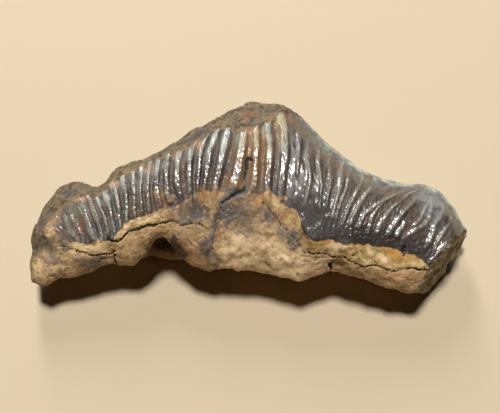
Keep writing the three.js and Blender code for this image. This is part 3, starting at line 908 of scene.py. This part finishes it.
# %% Grain: noise of a size in millimetres, from 0 to 1
grain_tree, grain_in, grain_out = new_group(
    "grain",
    [("Size", FLOAT, 0.3), ("Detail", FLOAT, 3)],
    [("Value", FLOAT)],
)
where = grain_tree.nodes.new("ShaderNodeTexCoord")
in_mm = grain_tree.nodes.new("ShaderNodeVectorMath")
in_mm.operation = "SCALE"
in_mm.inputs["Scale"].default_value = 1 / MM
per_size = math_node(grain_tree, "DIVIDE")
per_size.inputs[0].default_value = 1
grain_noise = grain_tree.nodes.new("ShaderNodeTexNoise")
link_all(grain_tree, [
    (where, "Object", in_mm, 0),
    (grain_in, "Size", per_size, 1),
    (in_mm, "Vector", grain_noise, "Vector"),
    (per_size, "Value", grain_noise, "Scale"),
    (grain_in, "Detail", grain_noise, "Detail"),
    (grain_noise, "Fac", grain_out, "Value"),
])
print("node group:", grain_tree.name)

# %% Stain: a colour over another where a mask is, with an edge that noise tears
stain_tree, stain_in, stain_out = new_group(
    "stain",
    [("Under", COLOUR, None), ("Over", COLOUR, None), ("Mask", FLOAT, 0), ("Grain", FLOAT, 0.5),
     ("Raggedness", FLOAT, 0.6), ("Strength", FLOAT, 1), ("Start", FLOAT, 0.25), ("End", FLOAT, 0.65)],
    [("Color", COLOUR)],
)
centred = math_node(stain_tree, "SUBTRACT")
centred.inputs[1].default_value = 0.5
reach = math_node(stain_tree, "SQRT")
tear = math_node(stain_tree, "MULTIPLY")
ragged = math_node(stain_tree, "MULTIPLY_ADD")
cut = stain_tree.nodes.new("ShaderNodeMapRange")
cut.interpolation_type = "SMOOTHSTEP"
dose = math_node(stain_tree, "MULTIPLY")
blended = stain_tree.nodes.new("ShaderNodeMix")
blended.data_type = "RGBA"
link_all(stain_tree, [
    (stain_in, "Grain", centred, 0),
    (stain_in, "Mask", reach, 0),
    (reach, "Value", tear, 0),
    (stain_in, "Raggedness", tear, 1),
    (centred, "Value", ragged, 0),
    (tear, "Value", ragged, 1),
    (stain_in, "Mask", ragged, 2),
    (ragged, "Value", cut, "Value"),
    (stain_in, "Start", cut, "From Min"),
    (stain_in, "End", cut, "From Max"),
    (cut, "Result", dose, 0),
    (stain_in, "Strength", dose, 1),
    (dose, "Value", blended, "Factor"),
    (stain_in, "Under", blended, "A"),
    (stain_in, "Over", blended, "B"),
    (blended, "Result", stain_out, "Color"),
])
print("node group:", stain_tree.name)

# %% Start the material: masks and grains that it reads
fossil, shader = new_material("fossil_tooth")
nodes, links = fossil.node_tree.nodes, fossil.node_tree.links
mask_value = {}
for name in MASKS:
    reader = nodes.new("ShaderNodeAttribute")
    reader.attribute_name = name
    mask_value[name] = reader.outputs["Fac"]


def grain(size, detail):
    """The grain group with values of its own."""
    node = nodes.new("ShaderNodeGroup")
    node.node_tree = grain_tree
    set_inputs(node, {"Size": size, "Detail": detail})
    return node.outputs["Value"]


cloudy, mottled, speckled, torn = grain(1.1, 4), grain(0.38, 5), grain(0.12, 4), grain(0.26, 9)
crumbled = grain(0.15, 9)
print("masks read:", len(mask_value))


# %% Colours mixed over each other
def set_colour(socket, colour):
    """Links a node's output, or sets a colour given as red, green and blue, 0 to 255."""
    if isinstance(colour, bpy.types.NodeSocket):
        links.new(colour, socket)
    else:
        socket.default_value = linear(*colour)


def two_tones(first, second, grain_value, low=0.35, high=0.65):
    """A mottle of two colours."""
    spread = nodes.new("ShaderNodeMapRange")
    set_inputs(spread, {"From Min": low, "From Max": high})
    blend = nodes.new("ShaderNodeMix")
    blend.data_type = "RGBA"
    links.new(grain_value, spread.inputs["Value"])
    links.new(spread.outputs["Result"], blend.inputs["Factor"])
    set_colour(blend.inputs["A"], first)
    set_colour(blend.inputs["B"], second)
    return blend.outputs["Result"]


CRISP, SOFT = (0.25, 0.65), (0.05, 1)  # values of a mask between which its stain sets in


def stain(under, mask_name, over, grain_value, raggedness, strength, edge):
    """The stain group with values of its own."""
    node = nodes.new("ShaderNodeGroup")
    node.node_tree = stain_tree
    set_colour(node.inputs["Under"], under)
    set_colour(node.inputs["Over"], over)
    links.new(mask_value[mask_name], node.inputs["Mask"])
    links.new(grain_value, node.inputs["Grain"])
    set_inputs(node, {"Raggedness": raggedness, "Strength": strength, "Start": edge[0], "End": edge[1]})
    return node.outputs["Color"]


def layered(colour, stains):
    """Stains over a colour and over each other: mask, colour, grain, raggedness, strength, edge."""
    for values in stains:
        colour = stain(colour, *values)
    return colour


# %% Root: tan bone with ochre, rust and dark stains, and painted light and shade at the lip and arch
tan = two_tones((146, 113, 72), (206, 172, 124), torn, 0.32, 0.62)
tan = two_tones(tan, (164, 128, 84), cloudy, 0.4, 0.7)
tan = two_tones((132, 100, 68), tan, speckled, 0.26, 0.46)
ochre_colour = two_tones((142, 106, 56), (208, 178, 116), torn, 0.3, 0.62)
root_colour = layered(tan, [
    ("ochre", ochre_colour, mottled, 1.4, 0.85, (0.1, 0.9)),
    ("gold", (190, 138, 52), torn, 1.6, 0.85, (0, 0.7)),
    ("olive", (140, 120, 76), torn, 2.2, 0.6, SOFT),
    ("purple", (116, 94, 82), crumbled, 3.4, 0.82, (0, 0.8)),
    ("purple", (92, 80, 72), speckled, 2.4, 0.45, (0.1, 1.1)),
    ("blue_grey", (72, 69, 68), crumbled, 3.6, 0.85, (0, 0.8)),
    ("rust", (152, 102, 48), crumbled, 4, 0.7, (0.05, 0.9)),
    # pale stains, and painted light along the root's lip
    ("pale", (236, 204, 158), torn, 1.6, 0.85, SOFT),
    # painted shade under the arch
    ("painted_arch_shade", (58, 34, 24), mottled, 0.4, 0.85, CRISP),
    ("peach", (176, 128, 88), torn, 2, 0.6, SOFT),
    # painted light on the shelf under the arch
    ("painted_ledge_light", (206, 132, 88), torn, 1.6, 0.8, SOFT),
    ("crevice", (104, 78, 54), speckled, 0.8, 0.6, SOFT),
])
print("nodes so far:", len(nodes))

# %% Enamel: purple-brown valleys, pale ridge tops partly painted light, amber, painted shade and sheen
valley = two_tones((58, 46, 42), (100, 88, 82), mask_value["threads"], 0.3, 0.75)
valley = two_tones(valley, (92, 72, 50), cloudy, 0.45, 0.75)
ridge_top = stain((168, 172, 158), "amber", (176, 164, 126), mottled, 0.4, 0.9, SOFT)
enamel_colour = layered(valley, [
    # painted shade low on the right and in the sunken place
    ("painted_low_shade", (42, 32, 28), mottled, 0.6, 0.92, (0, 0.8)),
    ("amber", (128, 92, 50), mottled, 0.5, 0.8, SOFT),
    ("olive", (104, 102, 80), mottled, 0.6, 0.8, SOFT),
    # painted sheen: a grey-blue reflection up the right
    ("painted_sheen", (134, 142, 144), torn, 2.4, 0.65, SOFT),
    # pale ridge tops, partly painted light on the cords' lit flank
    ("ridge", ridge_top, speckled, 0.8, 0.88, SOFT),
    ("rust", (122, 78, 42), torn, 1.6, 0.55, SOFT),
    ("blue_grey", (78, 77, 74), torn, 2, 0.9, (0.1, 0.9)),
    ("peach", (196, 150, 112), mottled, 1.2, 0.5, SOFT),
])
crown_and_root = stain(root_colour, "enamel", enamel_colour, speckled, 0.3, 1, CRISP)
print("nodes so far:", len(nodes))

# %% Worn skin of the crest and of the left end
worn_colour = two_tones((48, 41, 31), (124, 104, 74), torn, 0.36, 0.6)
worn_colour = two_tones(worn_colour, (98, 90, 76), cloudy, 0.45, 0.75)
worn_colour = two_tones(worn_colour, (146, 120, 86), speckled, 0.52, 0.78)
worn_colour = two_tones((62, 52, 40), worn_colour, torn, 0.3, 0.48)
worn_colour = layered(worn_colour, [
    ("olive", (84, 77, 57), torn, 2, 0.8, SOFT),
    ("fringe", (132, 104, 70), torn, 3, 0.5, SOFT),
    ("peach", (150, 114, 78), torn, 3, 0.4, SOFT),
    ("rust", (132, 86, 46), torn, 1.6, 0.7, SOFT),
    ("blue_grey", (62, 60, 64), mottled, 1.4, 0.9, (0.1, 0.9)),
    ("purple", (86, 72, 68), mottled, 1.4, 0.8, (0.15, 1)),
])
print("nodes so far:", len(nodes))

# %% What lies over crown and root: worn skin, a rim with a painted highlight, break, pits and cracks
break_colour = two_tones((104, 88, 70), (184, 160, 126), mottled)
tooth_colour = layered(crown_and_root, [
    ("worn", worn_colour, mottled, 0.7, 1, CRISP),
    # a pale enamel rim, with a painted highlight on it
    ("rim", (184, 190, 176), mottled, 0.9, 0.85, SOFT),
    ("broken", break_colour, mottled, 0.3, 1, CRISP),
    ("pit", (112, 84, 58), speckled, 0.5, 0.4, SOFT),
    ("fill", (96, 92, 82), crumbled, 4, 0.8, SOFT),
    ("crack", (20, 15, 12), torn, 1.2, 0.97, (0.2, 0.55)),
])
links.new(tooth_colour, shader.inputs["Base Color"])
print("stain groups in all:", sum(node.type == "GROUP" for node in nodes))


# %% [markdown]
# Enamel has a wet shine and the root has none, so roughness and the clear coat follow the enamel mask. The
# highlights of the real one break into dots, because its skin is dimpled. The larger dimples are in the
# mesh, and bump adds the ones that are too fine for it.

# %% Gloss
def between(low, high, value):
    """A number that goes from low to high as a mask goes from 0 to 1."""
    node = nodes.new("ShaderNodeMapRange")
    set_inputs(node, {"To Min": low, "To Max": high})
    links.new(value, node.inputs["Value"])
    return node.outputs["Result"]


def product(first, second):
    """Two masks multiplied."""
    node = math_node(fossil.node_tree, "MULTIPLY")
    links.new(first, node.inputs[0])
    links.new(second, node.inputs[1])
    return node.outputs["Value"]


ROOT_ROUGHNESS = 0.75
ENAMEL_ROUGHNESS = 0.22, 0.6
SHINE = {"Coat Roughness": 0.13, "Coat IOR": 1.65, "Specular IOR Level": 0.6}
glossy = product(product(mask_value["enamel"], mask_value["gloss"]), between(1, 0, mask_value["worn"]))
glossy_rough = between(*ENAMEL_ROUGHNESS, mottled)
rough_mix = nodes.new("ShaderNodeMix")
rough_mix.inputs["A"].default_value = ROOT_ROUGHNESS
links.new(glossy, rough_mix.inputs["Factor"])
links.new(glossy_rough, rough_mix.inputs["B"])
links.new(rough_mix.outputs["Result"], shader.inputs["Roughness"])
uncracked = product(glossy, between(1, 0, mask_value["crack"]))
links.new(product(uncracked, between(0.05, 0.95, crumbled)), shader.inputs["Coat Weight"])
set_inputs(shader, SHINE)
print("enamel roughness:", ENAMEL_ROUGHNESS, "root roughness:", ROOT_ROUGHNESS)


# %% Dimples of the enamel and grain of the root
def bump(height, distance, strength, below=None):
    """A bump of a height in millimetres, on top of another one."""
    node = nodes.new("ShaderNodeBump")
    set_inputs(node, {"Strength": strength, "Distance": distance * MM})
    links.new(height, node.inputs["Height"])
    if below:
        links.new(below, node.inputs["Normal"])
    return node.outputs["Normal"]


dull = product(between(1, 0, glossy), between(1, 0.4, mask_value["smooth_end"]))
root_grain = bump(product(grain(0.2, 6), dull), 0.05, 0.7)
dimples = bump(product(grain(0.17, 3), glossy), 0.03, 0.6, root_grain)
links.new(dimples, shader.inputs["Normal"])
tooth.data.materials.append(fossil)
print("material:", fossil.name, "nodes:", len(nodes))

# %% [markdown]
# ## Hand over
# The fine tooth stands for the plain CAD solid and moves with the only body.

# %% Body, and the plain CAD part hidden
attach(tooth, "root")
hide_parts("tooth")
